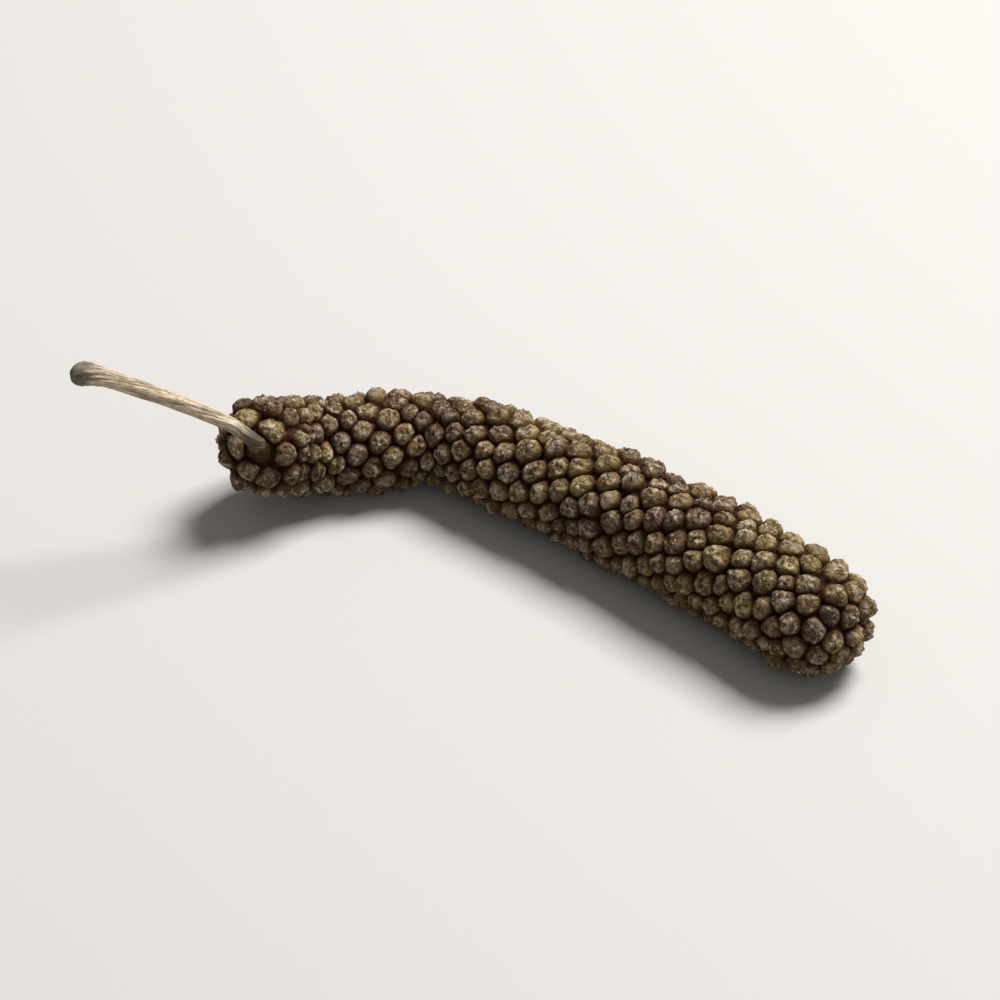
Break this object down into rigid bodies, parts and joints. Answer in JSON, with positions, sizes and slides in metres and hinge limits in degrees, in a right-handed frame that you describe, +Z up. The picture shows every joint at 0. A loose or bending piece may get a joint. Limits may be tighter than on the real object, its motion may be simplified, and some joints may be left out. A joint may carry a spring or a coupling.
{
  "type": "long pepper",
  "caption": "Dried long pepper lying on its side: a bent spike covered in small fused berries set in spirals, with a thin curved stalk at its narrow end.",
  "frame": {"origin": "under the middle of the whole pepper, on the surface that it lies on", "axes": "+X runs along the spike from its stalk end to its tip, +Y is the side that the bend bulges to, +Z is up"},
  "size_m": [0.0398, 0.0172, 0.0118],
  "materials": {
    "berries": "matte, dried and wrinkled",
    "stalk": "matte, fibrous"
  },
  "bodies": {
    "root": {"fruit_spike": "berries", "stalk": "stalk"}
  },
  "joints": []
}
